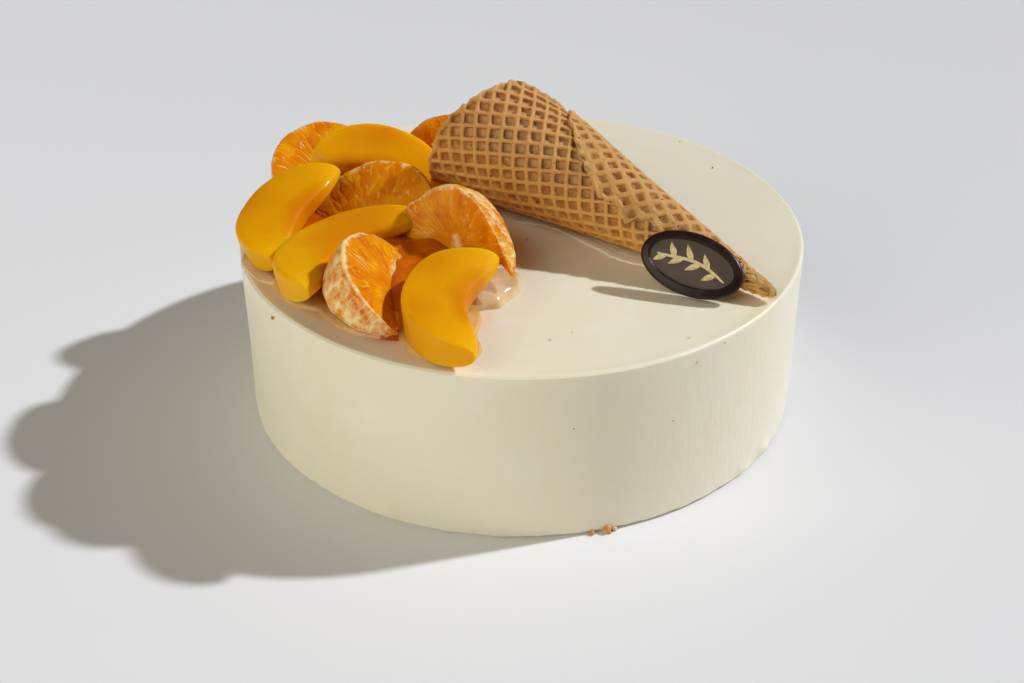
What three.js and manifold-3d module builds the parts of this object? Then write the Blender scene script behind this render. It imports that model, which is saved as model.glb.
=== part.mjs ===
// A round cream-coated peach cake. A rolled wafer cone lies across its top like a horn of plenty,
// with peach slices and mandarin segments spilling from its mouth and an oval chocolate plaque
// leaning on its thin end. Millimetres, +Z up, origin at the middle of the cake's flat underside,
// with the fruit towards -X and the front towards -Y.
import * as THREE from "three";
import { mergeVertices } from "three/addons/utils/BufferGeometryUtils.js";
import Module from "manifold-3d";

const wasm = await Module();
wasm.setup();

// Driving dimensions: the cake
const CAKE_RADIUS = 100;
const CAKE_HEIGHT = 62.6;
const TOP_EDGE_RADIUS = 1.4;
const FOOT_EDGE_RADIUS = 0.8;
const CAKE_SIDES = 72;
const EDGE_STEPS = 3;

// Driving dimensions: the wafer cone. Its point is where the sides would meet, on the cake's top.
const CONE_POINT = [91.95, -62.8];
const CONE_REST = 0.5;
const CONE_HEADING_DEG = 140.42;
const CONE_HALF_ANGLE_DEG = 10.725;
const CONE_START = 13;
const HOLLOW_START = 36;
// The sheet's thickness, the most of the cone's radius that one turn of it takes up near the point,
// and how many turns of it the wall is at the first point of the mouth
const SHEET = 1.8;
const SHEET_SHARE = 0.15;
const LAYERS = 1.9;
const CONE_SIDES = 48;
const CONE_ROWS = 14;
const HOLLOW_ROWS = 5;
// The sheet's free edge: distance from the point, turn round the cone in degrees from its top
const FREE_EDGE = [[13, 25], [20, 55], [56, 60], [68, 68], [80, 58], [92, 30], [104, -3], [110, -20],
  [116, -40]];
// The mouth: turn from the free edge back over the top in degrees, distance from the point
const MOUTH = [[0, 113], [30, 113], [75, 122], [135, 138], [184, 146.5], [225, 144.3], [256, 142],
  [280, 138], [302, 134.5], [318, 133], [333, 130], [340, 125], [360, 120]];

// Driving dimensions: the oval chocolate plaque
const PLAQUE_LENGTH = 35.1;
const PLAQUE_HEIGHT = 20.9;
const PLAQUE_THICKNESS = 3.2;
const PLAQUE_RIM = 2.4;
const PLAQUE_HOLLOW = 0.7;
const PLAQUE_ROUND = [[0.3, -0.6], [0, 0], [0.3, 0.7]];
const PLAQUE_SIDES = 40;
const PLAQUE_AT = [55.5, -47.9, 10];
const PLAQUE_TURN_DEG = [40.6, -11.5, 157.6];

// Driving dimensions: the fruit. A piece is a wedge, X along its length, Y across its thickness and
// Z from its inner edge to its back. Its place is its middle, with the height from the cake's top.
const CLEARANCE = 0.3;
const STATIONS = 14;
const SIDES = 16;
const MANDARIN_CORNER = 5;
const MANDARIN_EDGE_SHARE = 0.16;
const MANDARIN_EDGE_HOLLOW = 4;
const MANDARIN_EDGE_BULGE = 2.5;
const PEACH_CORNER = 3.6;
const PEACH_EDGE_SHARE = 0.42;
const PEACH_MIDDLE = 0.45;
const PEACH_END_DROP = 0.25;
const MANDARINS = {
  front: {
    reach: 23.7,
    length: 42.8,
    thick: 17.5,
    curl: [13, -8],
    at: [-23.3, -28.1, 15.5],
    turn: [38.5, 29, 158],
  },
  left: { reach: 23.5, length: 41, thick: 18.5, curl: [0, 0], at: [-51, -61.5, 12], turn: [62, 8, -89] },
  middle: { reach: 28, length: 46, thick: 15, curl: [0, 0], at: [-50, 1.5, 9.4], turn: [66, 10, 165] },
  mouth: { reach: 20, length: 44, thick: 14.5, curl: [0, 0], at: [-21.5, 40, 13.5], turn: [32, -9, 170] },
  back: { reach: 21, length: 41, thick: 14, curl: [0, 0], at: [-78.5, 39.5, 9], turn: [65, 10, -142] },
  under: { reach: 18, length: 42.5, thick: 13, curl: [0, 0], at: [-46.5, -50.5, 4.5], turn: [75, 1, -91] },
};
const PEACHES = {
  front: { radius: 30, depth: 20.5, sweep: 83, thick: 17, at: [-28.5, -72.5, 9.5], turn: [92, 8, -98] },
  lower: { radius: 35.5, depth: 19.5, sweep: 82, thick: 15.5, at: [-67.7, -33, 7.5], turn: [104, 1, -125] },
  left: { radius: 32.5, depth: 22.5, sweep: 71, thick: 16.5, at: [-85.5, -13, 10], turn: [104, 14, -112] },
  back: { radius: 31.5, depth: 18.5, sweep: 69, thick: 18.5, at: [-49.5, 29.5, 13], turn: [76, -12, 167] },
};

const radians = THREE.MathUtils.degToRad;

// Straight-line reading of a table of [input, value] pairs
function read(table, input) {
  const last = table.findIndex((pair) => pair[0] >= input);
  if (last < 0) return table.at(-1)[1];
  if (last === 0) return table[0][1];
  const [low, high] = [table[last - 1], table[last]];
  return THREE.MathUtils.mapLinear(input, low[0], high[0], low[1], high[1]);
}

// A closed skin over rings of equally many points, ended by a point beyond the first and last ring
function skin(start, rings, end) {
  const sides = rings[0].length;
  const points = [start, ...rings.flat(), end];
  const faces = [];
  const at = (ring, side) => 1 + ring * sides + (side % sides);
  for (let side = 0; side < sides; side += 1) {
    faces.push([0, at(0, side + 1), at(0, side)]);
    faces.push([points.length - 1, at(rings.length - 1, side), at(rings.length - 1, side + 1)]);
    for (let ring = 1; ring < rings.length; ring += 1) {
      faces.push([at(ring - 1, side), at(ring - 1, side + 1), at(ring, side + 1)]);
      faces.push([at(ring - 1, side), at(ring, side + 1), at(ring, side)]);
    }
  }
  const volume = faces.reduce((sum, [a, b, c]) => {
    return sum + points[a].dot(new THREE.Vector3().crossVectors(points[b], points[c]));
  }, 0);
  const outward = volume > 0 ? faces : faces.map(([a, b, c]) => [a, c, b]);
  const geometry = new THREE.BufferGeometry().setFromPoints(points);
  geometry.setIndex(outward.flat());
  return geometry;
}

// A mesh as a solid that can be cut, in the object's own frame
function toSolid(mesh) {
  mesh.updateMatrixWorld(true);
  const bare = mesh.geometry.clone().applyMatrix4(mesh.matrixWorld);
  bare.deleteAttribute("normal");
  bare.deleteAttribute("uv");
  const merged = mergeVertices(bare, 1e-4);
  const vertProperties = new Float32Array(merged.attributes.position.array);
  const triVerts = new Uint32Array(merged.index.array);
  return new wasm.Manifold(new wasm.Mesh({ numProp: 3, vertProperties, triVerts }));
}

function fromSolid(solid) {
  const { vertProperties, triVerts } = solid.getMesh();
  const geometry = new THREE.BufferGeometry();
  geometry.setAttribute("position", new THREE.BufferAttribute(vertProperties, 3));
  geometry.setIndex(new THREE.BufferAttribute(triVerts, 1));
  return geometry;
}

function food(name, geometry, color, roughness) {
  const mesh = new THREE.Mesh(geometry, new THREE.MeshStandardMaterial({ color, roughness, metalness: 0 }));
  mesh.name = name;
  return mesh;
}

// Lays a topping at its place over the cake's top, turned about X, then Y, then Z
function lay(mesh, at, turn) {
  mesh.position.set(at[0], at[1], CAKE_HEIGHT + at[2]);
  mesh.rotation.set(radians(turn[0]), radians(turn[1]), radians(turn[2]), "ZYX");
  return mesh;
}

// The cake: a straight-sided drum with a crisp top edge, turned about its axis
function cake() {
  const profile = [new THREE.Vector2(0, 0)];
  for (let step = 0; step <= EDGE_STEPS; step += 1) {
    const turn = (step / EDGE_STEPS) * (Math.PI / 2);
    const out = FOOT_EDGE_RADIUS * Math.sin(turn);
    const up = FOOT_EDGE_RADIUS * (1 - Math.cos(turn));
    profile.push(new THREE.Vector2(CAKE_RADIUS - FOOT_EDGE_RADIUS + out, up));
  }
  for (let step = 0; step <= EDGE_STEPS; step += 1) {
    const turn = (step / EDGE_STEPS) * (Math.PI / 2);
    const out = TOP_EDGE_RADIUS * Math.cos(turn);
    const up = TOP_EDGE_RADIUS * Math.sin(turn);
    profile.push(new THREE.Vector2(CAKE_RADIUS - TOP_EDGE_RADIUS + out, CAKE_HEIGHT - TOP_EDGE_RADIUS + up));
  }
  profile.push(new THREE.Vector2(0, CAKE_HEIGHT));
  const geometry = new THREE.LatheGeometry(profile, CAKE_SIDES);
  geometry.rotateX(Math.PI / 2);
  return food("cake", geometry, 0xe9e0cb, 0.45);
}

// The wafer cone: one sheet rolled nearly twice round, so that its skin is a spiral with a step at
// the free edge. It lies along one of its straight lines, with its axis tilted up by its half angle.
// `grow` swells the sheet on every side.
function waferCone(grow) {
  const half = radians(CONE_HALF_ANGLE_DEG);
  const heading = radians(CONE_HEADING_DEG);
  const point = new THREE.Vector3(...CONE_POINT, CAKE_HEIGHT + CONE_REST);
  const level = new THREE.Vector3(Math.cos(heading), Math.sin(heading), 0);
  const axis = level.multiplyScalar(Math.cos(half)).setZ(Math.sin(half));
  const side = new THREE.Vector3(0, 0, 1).cross(axis).normalize();
  const up = new THREE.Vector3().crossVectors(axis, side);

  // A place on the sheet: distance from the point, turn from the top, depth under the outermost skin
  function place(distance, turn, depth) {
    const radius = distance * Math.sin(half) - depth * Math.cos(half);
    const along = distance * Math.cos(half) + depth * Math.sin(half);
    return point.clone()
      .addScaledVector(axis, along)
      .addScaledVector(up, radius * Math.cos(turn))
      .addScaledVector(side, radius * Math.sin(turn));
  }

  function ring(share, start, depth) {
    const edge = THREE.MathUtils.lerp(start, MOUTH[0][1], share);
    return Array.from({ length: CONE_SIDES + 1 }, (_, column) => {
      const onward = column / CONE_SIDES;
      const distance = THREE.MathUtils.lerp(start, read(MOUTH, 360 * onward) + grow, share);
      const step = Math.min(SHEET, SHEET_SHARE * distance * Math.sin(half));
      const turn = radians(read(FREE_EDGE, edge) - 360 * onward);
      return place(distance, turn, step * onward + depth);
    });
  }

  const rings = [];
  for (let row = 0; row <= CONE_ROWS; row += 1) {
    rings.push(ring(row / CONE_ROWS, CONE_START, -grow));
  }
  for (let row = HOLLOW_ROWS; row >= 0; row -= 1) {
    rings.push(ring(row / HOLLOW_ROWS, HOLLOW_START, SHEET * LAYERS + grow));
  }
  const tip = place(CONE_START - 1, 0, (CONE_START - 1) * Math.tan(half));
  const hollowEnd = place(HOLLOW_START, 0, HOLLOW_START * Math.tan(half));
  return food("wafer_cone", skin(tip, rings, hollowEnd), 0xb98a52, 0.75);
}

// The plaque: an oval of poured chocolate with a rounded raised rim round a shallow hollow
function plaque() {
  const radius = PLAQUE_LENGTH / 2;
  const middle = PLAQUE_THICKNESS / 2;
  const profile = [
    new THREE.Vector2(0, -middle),
    new THREE.Vector2(radius - middle, -middle),
    ...PLAQUE_ROUND.map(([inset, up]) => new THREE.Vector2(radius - inset * middle, up * middle)),
    new THREE.Vector2(radius - middle, middle),
    new THREE.Vector2(radius - PLAQUE_RIM, middle - PLAQUE_HOLLOW),
    new THREE.Vector2(0, middle - PLAQUE_HOLLOW),
  ];
  const geometry = new THREE.LatheGeometry(profile, PLAQUE_SIDES);
  geometry.scale(1, 1, PLAQUE_HEIGHT / PLAQUE_LENGTH);
  return lay(food("chocolate_plaque", geometry, 0x2e2320, 0.3), PLAQUE_AT, PLAQUE_TURN_DEG);
}

// A rounded square from -1 to 1: X to the back, Y across, where `corner` is its outline's power
function roundedSquare(angle, corner) {
  const x = Math.cos(angle);
  const y = Math.sin(angle);
  const size = (Math.abs(x) ** corner + Math.abs(y) ** corner) ** (-1 / corner);
  return [x * size, y * size];
}

// One cross-section of a wedge: a rounded square drawn in to `edgeShare` of its width at the inner
// edge. `put` turns a share of the way to the back, and a distance across, into a point.
function section(halfThick, corner, edgeShare, put) {
  return Array.from({ length: SIDES }, (_, side) => {
    const [back, across] = roundedSquare((2 * Math.PI * side) / SIDES, corner);
    const share = (1 + back) / 2;
    return put(share, halfThick * across * (edgeShare + (1 - edgeShare) * share));
  });
}

// A mandarin segment: half-moon in side view, flat faces that meet near a thin, slightly hollow
// inner edge, and a broad back. Its curl is how far its -X and +X ends bend down. `grow` swells it
// on every side.
function mandarin({ reach, length, thick, curl }, grow) {
  const halfLength = length / 2 + grow;
  const rings = [];
  for (let station = 1; station < STATIONS; station += 1) {
    const turn = Math.PI * (station / STATIONS - 0.5);
    const fall = Math.cos(turn);
    const x = halfLength * Math.sin(turn);
    const outer = (reach + grow) * fall ** 0.85;
    const inner = MANDARIN_EDGE_HOLLOW * fall ** 2 - (MANDARIN_EDGE_BULGE + grow) * fall ** 0.4;
    const halfThick = (thick / 2 + grow) * fall ** 0.55;
    const bend = THREE.MathUtils.lerp(curl[0], curl[1], (1 + Math.sin(turn)) / 2);
    const lower = reach / 2 + bend * Math.sin(turn) ** 2;
    rings.push(section(halfThick, MANDARIN_CORNER, MANDARIN_EDGE_SHARE, (share, y) => {
      return new THREE.Vector3(x, y, THREE.MathUtils.lerp(inner, outer, share) - lower);
    }));
  }
  const ends = [-1, 1].map((way, order) => new THREE.Vector3(way * halfLength, 0, -reach / 2 - curl[order]));
  return skin(ends[0], rings, ends[1]);
}

// A peach slice: a crescent round the place of the stone, thickest at its skin side, with blunt ends
function peach({ radius, depth, sweep, thick }, grow) {
  const lift = radius - PEACH_MIDDLE * depth;
  const spread = radians(sweep) + grow / radius;
  const rings = [];
  for (let station = 1; station < STATIONS; station += 1) {
    const along = Math.sin(Math.PI * (station / STATIONS - 0.5));
    const fall = 1 - Math.abs(along) ** 2.4;
    const turn = along * spread;
    const outer = radius + grow - PEACH_END_DROP * depth * (1 - fall);
    const inner = outer - (depth + 2 * grow) * fall ** 0.5;
    const halfThick = (thick / 2 + grow) * fall ** 0.42;
    rings.push(section(halfThick, PEACH_CORNER, PEACH_EDGE_SHARE, (share, y) => {
      const out = THREE.MathUtils.lerp(inner, outer, share);
      return new THREE.Vector3(out * Math.sin(turn), y, out * Math.cos(turn) - lift);
    }));
  }
  const out = radius + grow - PEACH_END_DROP * depth;
  const end = new THREE.Vector3(out * Math.sin(spread), 0, out * Math.cos(spread) - lift);
  return skin(end.clone().setX(-end.x), rings, end);
}

// Each topping gives way to those already laid: what would reach into them is cut off, with a gap
const root = new THREE.Group();
const laid = [];
const cone = waferCone(0);
const drum = cake();
const chocolate = plaque();
root.add(drum, cone, chocolate);

// The drum again, higher by the clearance, so that fruit resting on the top keeps off it
const risen = cake();
risen.position.z = CLEARANCE;
laid.push(toSolid(risen), toSolid(waferCone(CLEARANCE)));

function addFruit(name, shape, size, color) {
  const piece = lay(food(name, shape(size, 0), color, 0.35), size.at, size.turn);
  const swollen = lay(food(name, shape(size, CLEARANCE), color, 0.35), size.at, size.turn);
  const whole = toSolid(piece);
  const cut = laid.reduce((solid, other) => solid.subtract(other), whole);
  laid.push(toSolid(swollen));
  root.add(food(name, fromSolid(cut), color, 0.35));
}

for (const [name, size] of Object.entries(PEACHES)) {
  addFruit(`peach_${name}`, peach, size, 0xdf9212);
}
for (const [name, size] of Object.entries(MANDARINS)) {
  addFruit(`mandarin_${name}`, mandarin, size, 0xd9720c);
}

export default root;
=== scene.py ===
import math

import bpy
import numpy as np
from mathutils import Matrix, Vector


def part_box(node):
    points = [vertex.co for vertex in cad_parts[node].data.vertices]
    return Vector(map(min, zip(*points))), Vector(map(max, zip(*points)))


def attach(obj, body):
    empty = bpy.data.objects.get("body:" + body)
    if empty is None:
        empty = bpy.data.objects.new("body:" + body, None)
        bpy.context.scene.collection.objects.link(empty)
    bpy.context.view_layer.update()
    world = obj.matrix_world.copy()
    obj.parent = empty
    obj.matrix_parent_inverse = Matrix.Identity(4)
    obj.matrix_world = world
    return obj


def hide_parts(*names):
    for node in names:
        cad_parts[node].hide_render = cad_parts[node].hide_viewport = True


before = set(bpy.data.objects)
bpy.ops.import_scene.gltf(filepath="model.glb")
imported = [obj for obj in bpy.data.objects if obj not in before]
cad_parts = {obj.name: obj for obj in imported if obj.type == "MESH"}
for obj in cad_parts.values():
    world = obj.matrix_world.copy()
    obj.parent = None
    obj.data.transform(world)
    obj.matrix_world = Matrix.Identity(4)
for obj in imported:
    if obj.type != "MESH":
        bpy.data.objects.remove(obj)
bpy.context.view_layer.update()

# Shapes are worked out in millimetres in the frame's axes, and become metres as they are made meshes.
MM = 0.001


# The camera: a 53 mm lens on a 36 mm sensor, about half a metre off, looking down at 32 degrees.
LENS = 52.9
CAMERA_AT = Vector((-3.4, -479.5, 311.8)) * MM
CAMERA_AIM = Vector((-3.4, 0.0, 13.1)) * MM

camera = bpy.data.objects.new("camera", bpy.data.cameras.new("camera"))
camera.data.lens = LENS
camera.location = CAMERA_AT
camera.rotation_euler = (CAMERA_AIM - CAMERA_AT).to_track_quat("-Z", "Y").to_euler()
bpy.context.scene.collection.objects.link(camera)
bpy.context.scene.camera = camera
bpy.context.scene.view_settings.view_transform = "Standard"


# The light: a small cool key from the right and a little behind, one broad warm fill from behind the
# left shoulder, and a faint even surround.
KEY_FROM = Vector((0.7382, 0.2047, 0.6428))
KEY_SPREAD_DEG = 2.5
KEY_STRENGTH = 3.15
KEY_COLOR = (0.906, 0.946, 1.0)
FILL_FROM = Vector((-2.614, -2.273, 2.0))
FILL_SIZE = 4.0
FILL_POWER = 103.0
FILL_COLOR = (1.0, 0.977, 0.80)
SURROUND_COLOR = (1.0, 0.92, 0.95)
SURROUND_STRENGTH = 0.065


def new_light(name, kind, at, power, color):
    """A light that shines from its place towards the middle of the cake's underside."""
    light = bpy.data.objects.new(name, bpy.data.lights.new(name, kind))
    light.location = at
    light.rotation_euler = at.to_track_quat("Z", "Y").to_euler()
    light.data.energy = power
    light.data.color = color
    bpy.context.scene.collection.objects.link(light)
    return light.data


def set_sockets(node, sockets):
    """Joins each named socket of a node to another node's, or gives it a value."""
    for name, value in sockets.items():
        socket = node.inputs[name]
        if isinstance(value, bpy.types.NodeSocket):
            node.id_data.links.new(value, socket)
        else:
            socket.default_value = (*value, 1.0) if socket.type == "RGBA" else value


key = new_light("key_light", "SUN", KEY_FROM, KEY_STRENGTH, KEY_COLOR)
key.angle = math.radians(KEY_SPREAD_DEG)
fill = new_light("fill_light", "AREA", FILL_FROM, FILL_POWER, FILL_COLOR)
fill.size = FILL_SIZE
surround = bpy.data.worlds.new("surround")
surround.use_nodes = True
surround_shader = surround.node_tree.nodes["Background"]
set_sockets(surround_shader, {"Color": SURROUND_COLOR, "Strength": SURROUND_STRENGTH})
bpy.context.scene.world = surround


# The floor: a plain pale surface that the cake stands on. It isn't part of the object.
FLOOR_REACH = 6000.0
FLOOR_COLOR = (0.80, 0.79, 0.81)
FLOOR_ROUGHNESS = 0.55


def outward(points, faces):
    """Arrays of faces, all turned over where they hold a negative volume, which is the sum of
    a . (b x c) / 6 over their triangles a, b, c."""
    volume = 0.0
    for part in faces:
        for corner in range(1, part.shape[1] - 1):
            b, c = points[part[:, corner]], points[part[:, corner + 1]]
            volume += (points[part[:, 0]] * np.cross(b, c)).sum() / 6
    return [part[:, ::-1] for part in faces] if volume < 0 else faces


def new_piece(name, points, faces, material):
    """A mesh object from points in millimetres, with x, y, z along the last axis, and arrays of faces,
    each with one row of point numbers for a face."""
    points = points.reshape(-1, 3)
    rows = [row for part in outward(points, faces) for row in part.tolist()]
    mesh = bpy.data.meshes.new(name)
    mesh.from_pydata((points * MM).tolist(), [], rows, shade_flat=False)
    mesh.validate()
    mesh.materials.append(material)
    piece = bpy.data.objects.new(name, mesh)
    bpy.context.scene.collection.objects.link(piece)
    return piece


def new_material(name, color, roughness, **sockets):
    """A material and its shader. More sockets are set by name, with _ for a space."""
    material = bpy.data.materials.new(name)
    material.use_nodes = True
    shader = material.node_tree.nodes["Principled BSDF"]
    set_sockets(shader, {"Base Color": color, "Roughness": roughness})
    set_sockets(shader, {socket.replace("_", " "): value for socket, value in sockets.items()})
    return material, shader


floor_square = np.array([[-1, -1, 0], [1, -1, 0], [1, 1, 0], [-1, 1, 0]]) * FLOOR_REACH
floor_pale, _ = new_material("floor_pale", FLOOR_COLOR, FLOOR_ROUGHNESS)
floor = new_piece("floor", floor_square, [np.array([[0, 1, 2, 3]])], floor_pale)


# The cake: an uncut drum of sponge under a smooth coat of off-white cream, set in a ring and
# unmoulded. Its rim is crisp, its foot is ragged, where the coat stops just above the bottom, and
# a ribbon of cream has been pressed out at the rim.
CAKE_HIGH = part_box("cake")[1] / MM
CAKE_RADIUS = CAKE_HIGH.x
CAKE_HEIGHT = CAKE_HIGH.z
CAKE_TURNS = 720
RIM_RADIUS = 1.3
FOOT_RADIUS = 0.6
SIDE_SWELL = 0.25
TOP_SWELL = 0.22
LIP_RISE = 0.28
LIP_WIDTH = 1.5
LIP_TURN_DEG = -38.0
LIP_SPAN_DEG = 34.0
TROWEL_TURN_DEG = -44.0
TROWEL_SPAN_DEG = 24.0
UNDERCUT = 1.1
# Where the foot of the coat stops higher: turn round the cake and half-width in degrees, and rise
FOOT_GAPS = [(-64.0, 22.0, 0.55), (-134.4, 0.8, 0.7)]
# A lump there: turn and half-width in degrees, height, half its height, and how far it stands out
FOOT_LUMP = (-40.8, 2.0, 2.6, 2.0, 0.9)
CREAM_COLOR = (0.893, 0.8265, 0.661)
CREAM_WARM = (0.887, 0.809, 0.621)
CREAM_PALE = (0.904, 0.844, 0.702)
# Where the top is tinted orange near the fruit, partly a juice stain soaked into the cream and partly
# painted glow of light through the fruit, and how far the tint spreads
JUICE_AND_GLOW_OUTLINE = [
    [-94, -22], [-84, 8], [-84, 30], [-66, 44], [-44, 47], [-22, 44], [-10, 30], [-6, 8], [1, -16],
    [-3, -36], [-15, -58], [-15, -80], [-20, -92], [-34, -86], [-46, -76], [-58, -70], [-72, -57],
    [-86, -40]]
JUICE_AND_GLOW_REACH = 7.0
JUICE_AND_GLOW_COLOR = (0.93, 0.56, 0.27)


def waves(points, size, seed, count=24):
    """Smooth unevenness, mostly from -1 to 1: the sum of cosine waves with random directions and
    phases, whose lengths lie around `size` millimetres."""
    rng = np.random.default_rng(seed)
    ways = rng.normal(size=(count, points.shape[-1]))
    lengths = size * rng.uniform(0.7, 1.6, count)
    ways *= 2 * np.pi / (np.linalg.norm(ways, axis=1) * lengths)[:, None]
    phases = rng.uniform(0, 2 * np.pi, count)
    return np.cos(points @ ways.T + phases).sum(-1) / math.sqrt(2 * count)


def bell(value, middle, width):
    """A smooth bump of height 1 at `middle`, e to the minus square of the distance in widths."""
    return np.exp(-(((value - middle) / width) ** 2))


def rise(value, start, end):
    """0 before start, 1 after end, and the smooth step 3t^2 - 2t^3 between them."""
    share = np.clip((value - start) / (end - start), 0, 1)
    return share * share * (3 - 2 * share)


def full_turn(count):
    """That many angles, evenly round a full turn."""
    return np.linspace(0, 2 * np.pi, count, endpoint=False)


def together(*values):
    """The values as the last axis of one array, each spread over the shape of them all."""
    return np.stack(np.broadcast_arrays(*values), -1)


def rounded_outline(corners):
    """A closed outline with its corners cut three times, each time to points a quarter and three
    quarters of the way along every side."""
    corners = np.array(corners)
    for _ in range(3):
        onward = np.roll(corners, -1, axis=0)
        cut = [0.75 * corners + 0.25 * onward, 0.25 * corners + 0.75 * onward]
        corners = np.stack(cut, 1).reshape(-1, 2)
    return corners


def inside_outline(points, outline):
    """Distance inside a closed outline: to its nearest side, and negative for a point from which a
    line towards +X crosses its sides an even number of times."""
    onward = np.roll(outline, -1, axis=0)
    side = onward - outline
    out = points[:, None] - outline
    share = np.clip((out * side).sum(-1) / (side ** 2).sum(-1), 0, 1)
    away = np.linalg.norm(out - share[..., None] * side, axis=-1).min(-1)
    level = points[:, 1:]
    spans = (outline[:, 1] > level) != (onward[:, 1] > level)
    flat_safe = np.where(side[:, 1] == 0, 1, side[:, 1])
    crossing = outline[:, 0] + side[:, 0] * (level - outline[:, 1]) / flat_safe
    odd = (spans & (points[:, :1] < crossing)).sum(-1) % 2 == 1
    return np.where(odd, away, -away)


def cake_points():
    """Rings of points from the middle of the bottom round the foot, up the side, over the rim and in
    to the middle of the top. Radius and height get a slow swell from waves, a raised lip inside the
    rim, and the dents and lumps of the foot. With them come how much each point is marked by the
    trowel, and how strongly it takes the orange tint near the fruit, which is partly a juice stain
    and partly painted glow of light through the fruit."""
    arc = np.linspace(0, np.pi / 2, 9)
    foot = CAKE_RADIUS - FOOT_RADIUS
    rim = CAKE_RADIUS - RIM_RADIUS
    out = np.concatenate([
        np.linspace(2, foot - 2, 6),
        foot + FOOT_RADIUS * np.sin(arc[::3]),
        np.full(51, CAKE_RADIUS),
        rim + RIM_RADIUS * np.cos(arc),
        rim - 0.4 * np.arange(1, 8),
        np.linspace(rim - 4, 1.2, 46),
    ])
    up = np.concatenate([
        np.zeros(6),
        FOOT_RADIUS * (1 - np.cos(arc[::3])),
        np.linspace(0.85, 2.5, 8),
        np.linspace(3.4, CAKE_HEIGHT - RIM_RADIUS - 1, 43),
        CAKE_HEIGHT - RIM_RADIUS + RIM_RADIUS * np.sin(arc),
        np.full(53, CAKE_HEIGHT),
    ])
    turn = full_turn(CAKE_TURNS)
    degrees = np.degrees((turn + np.pi) % (2 * np.pi) - np.pi)
    way = together(np.cos(turn), np.sin(turn))
    around = way * CAKE_RADIUS
    radius = out[:, None] + 0 * turn
    height = up[:, None] + 0 * turn
    on_side = rise(out, CAKE_RADIUS - 1.5, CAKE_RADIUS)[:, None]
    on_top = (up >= CAKE_HEIGHT - 0.5 * RIM_RADIUS)[:, None]

    # the coat's swell, and its ragged lower edge
    radius += SIDE_SWELL * on_side * (waves(together(*around.T, height), 55, 1) - 1)
    ragged = 0.45 + 0.3 * waves(around, 9, 2) + 0.15 * waves(around, 3, 3)
    for gap_turn, half_width, further in FOOT_GAPS:
        ragged += further * bell(degrees, gap_turn, half_width)
    radius -= UNDERCUT * on_side * (1 - rise(height, ragged - 0.25, ragged + 0.25)) * (height < 4)
    radius += 0.5 * on_side * bell(height, 3.5, 2.2) * np.maximum(0, waves(around, 14, 4)) ** 2
    lump_turn, lump_width, lump_height, lump_half, lump_out = FOOT_LUMP
    lump = bell(degrees, lump_turn, lump_width) * bell(height, lump_height, lump_half)
    radius += lump_out * on_side * lump

    # the top's swell, and its lip, which is strongest on one side
    flat = radius[..., None] * way
    height += TOP_SWELL * on_top * (waves(flat, 48, 5) - 1.2) * rise(CAKE_RADIUS - radius, 0, 6)
    lip = bell(radius, rim, LIP_WIDTH) * (0.2 + 0.8 * bell(degrees, LIP_TURN_DEG, LIP_SPAN_DEG))
    height += LIP_RISE * on_top * (lip * np.clip(0.75 + 0.5 * waves(around, 22, 6), 0, 1) - 1)
    half_way = 0.5 * CAKE_HEIGHT
    trowel = on_side * bell(degrees, TROWEL_TURN_DEG, TROWEL_SPAN_DEG) * bell(height, half_way, half_way)
    near_fruit = inside_outline(flat.reshape(-1, 2), rounded_outline(JUICE_AND_GLOW_OUTLINE))
    near_fruit = near_fruit.reshape(radius.shape) + 2 * waves(flat, 14, 8)
    # The tint near the fruit: partly a juice stain, partly painted glow of light through the fruit.
    juice_and_glow = on_top * rise(near_fruit, -JUICE_AND_GLOW_REACH, 2)
    return np.concatenate([flat, height[..., None]], -1), trowel, juice_and_glow


def closed_skin(rings):
    """Points and faces of a skin over closed rings of points. Last come the middles of the first and
    the last ring, which close its ends."""
    rows, columns = rings.shape[:2]
    number = np.arange(rows * columns).reshape(rows, columns)
    onward = np.roll(number, -1, axis=1)
    sides = together(number[:-1], onward[:-1], onward[1:], number[1:]).reshape(-1, 4)
    first = together(onward[0], number[0], rows * columns)
    last = together(number[-1], onward[-1], rows * columns + 1)
    points = np.concatenate([rings.reshape(-1, 3), rings[:1].mean(1), rings[-1:].mean(1)])
    return points, [sides, first, last]


def add_node(beside, kind, sockets, **settings):
    """A node in the same tree as `beside`, with its settings and sockets."""
    node = beside.id_data.nodes.new(kind)
    for name, value in settings.items():
        setattr(node, name, value)
    set_sockets(node, sockets)
    return node


def place(shader, stretch=(1, 1, 1)):
    """The point on the object, in metres times `stretch`."""
    here = add_node(shader, "ShaderNodeTexCoord", {}).outputs["Object"]
    return add_node(shader, "ShaderNodeMapping", {"Vector": here, "Scale": stretch}).outputs["Vector"]


def mottle(where, size, detail, roughness=0.5):
    """Noise from 0 to 1 whose lumps are about `size` millimetres across."""
    sockets = {"Vector": where, "Scale": 1 / (size * MM), "Detail": detail, "Roughness": roughness}
    return add_node(where, "ShaderNodeTexNoise", sockets).outputs["Fac"]


def spread(value, low, high, to_low=0.0, to_high=1.0):
    """`value` from low..high put onto to_low..to_high, smoothly and no further."""
    sockets = {"Value": value, "From Min": low, "From Max": high, "To Min": to_low, "To Max": to_high}
    node = add_node(value, "ShaderNodeMapRange", sockets, interpolation_type="SMOOTHSTEP")
    return node.outputs["Result"]


def clouds(where, size, detail, low, high, to_low=0.0, to_high=1.0, roughness=0.5):
    """Mottling of that size and detail, spread from low..high onto to_low..to_high."""
    return spread(mottle(where, size, detail, roughness), low, high, to_low, to_high)


def plus(first, second, operation="ADD"):
    """Two values added, or put together by another operation."""
    return add_node(first, "ShaderNodeMath", {0: first, 1: second}, operation=operation).outputs["Value"]


def times(first, second):
    """Two values multiplied."""
    return plus(first, second, "MULTIPLY")


def blend(share, first, second):
    """Two colours mixed: the first at share 0, the second at share 1."""
    return add_node(share, "ShaderNodeMix", {0: share, 6: first, 7: second}, data_type="RGBA").outputs[2]


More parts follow.
